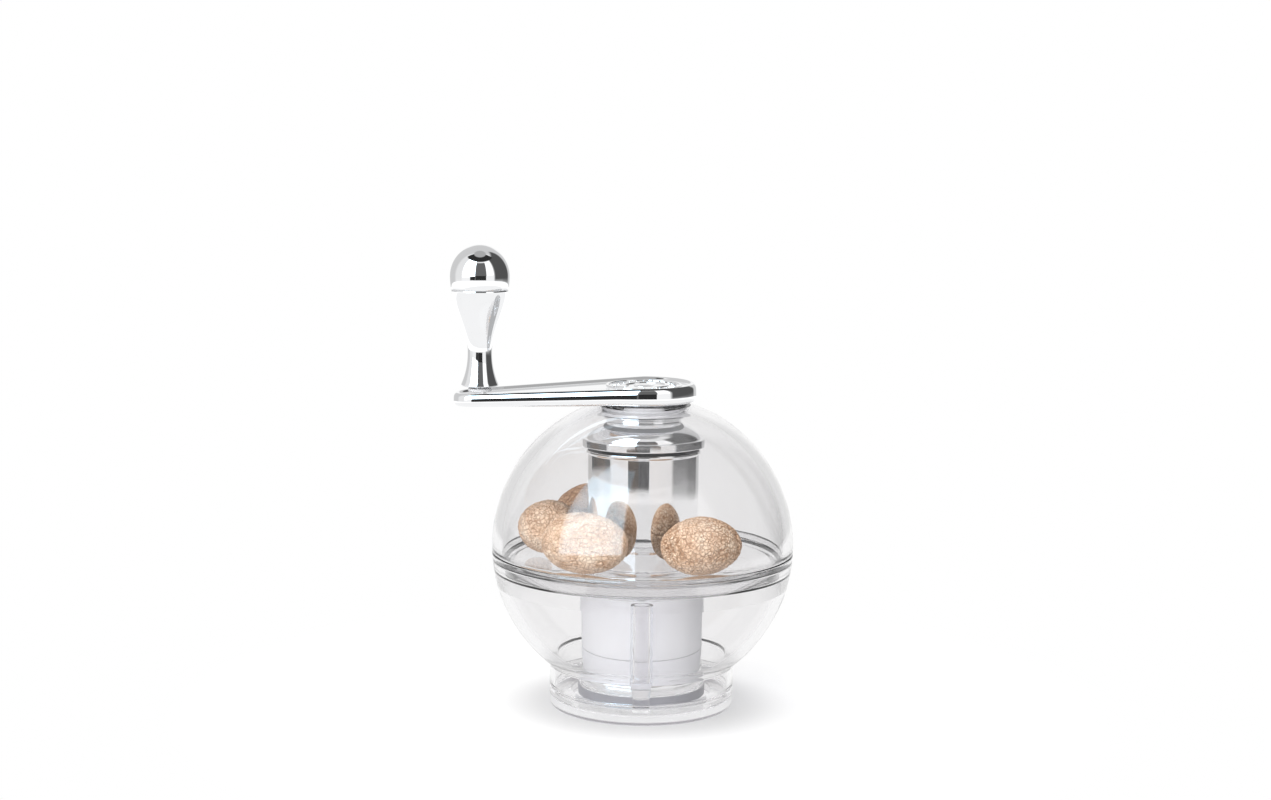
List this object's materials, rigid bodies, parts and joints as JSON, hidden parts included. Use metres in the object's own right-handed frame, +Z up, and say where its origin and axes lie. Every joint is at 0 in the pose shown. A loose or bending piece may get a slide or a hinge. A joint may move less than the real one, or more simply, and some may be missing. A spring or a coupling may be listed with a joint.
{
  "type": "mechanical nutmeg grater",
  "caption": "Hand cranked nutmeg grater: clear ball that stores whole nutmegs round a steel tube, with a sprung claw plunger over a slotted blade.",
  "frame": {"origin": "centre of the base cap's flat underside, on the table", "axes": "+Z up along the crank's axis; at rest the crank arm points along -X; +Y is away from the picture's camera"},
  "size_m": [0.0855, 0.075, 0.115],
  "materials": {
    "clear_acrylic": "clear and glossy, with a faint grey tint",
    "frosted_plastic": "frosted",
    "nylon": "natural white, satin",
    "chrome": "bright chrome plate",
    "polished_steel": "polished",
    "blade_steel": "ground and hardened",
    "spring_steel": "drawn wire",
    "nutmeg_shell": "dry and finely wrinkled"
  },
  "bodies": {
    "base": {"lower_shell": "clear_acrylic", "nutmeg_floor": "clear_acrylic", "chamber_sleeve": "frosted_plastic", "front_post": "clear_acrylic", "rear_post": "clear_acrylic", "chamber_tube": "polished_steel", "blade_housing": "polished_steel", "blade_disc": "blade_steel", "nutmeg_1": "nutmeg_shell", "nutmeg_2": "nutmeg_shell", "nutmeg_3": "nutmeg_shell", "nutmeg_4": "nutmeg_shell"},
    "cap": {"base_cap": "clear_acrylic"},
    "top": {"upper_shell": "clear_acrylic", "tube_cap": "chrome", "neck_bush": "nylon", "retaining_ring": "spring_steel", "thrust_washer": "nylon"},
    "crank": {"crank_arm": "chrome", "drive_shaft": "polished_steel", "plunger_spring": "spring_steel", "knob_pin": "polished_steel", "knob_washer": "nylon"},
    "plunger": {"plunger_stem": "nylon", "claw_plate": "blade_steel", "claw_nut": "spring_steel"},
    "knob": {"knob": "chrome", "knob_cap": "chrome"}
  },
  "joints": [
    {"name": "base_cap_pull", "type": "slide", "parent": "base", "child": "cap", "axis": [0, 0, -1], "range_m": [0, 0.02]},
    {"name": "top_lift", "type": "slide", "parent": "base", "child": "top", "axis": [0, 0, 1], "range_m": [0, 0.07]},
    {"name": "crank_turn", "type": "hinge", "parent": "top", "child": "crank", "pos_m": [0, 0, 0.0769], "axis": [0, 0, 1], "continuous": true},
    {"name": "knob_spin", "type": "hinge", "parent": "crank", "child": "knob", "pos_m": [-0.04065, 0, 0.0801], "axis": [0, 0, 1], "continuous": true},
    {"name": "plunger_press", "type": "slide", "parent": "crank", "child": "plunger", "axis": [0, 0, 1], "range_m": [0, 0.022], "stiffness_N_per_m": 250, "springref_m": -0.008, "deforming": ["plunger_spring"]}
  ]
}
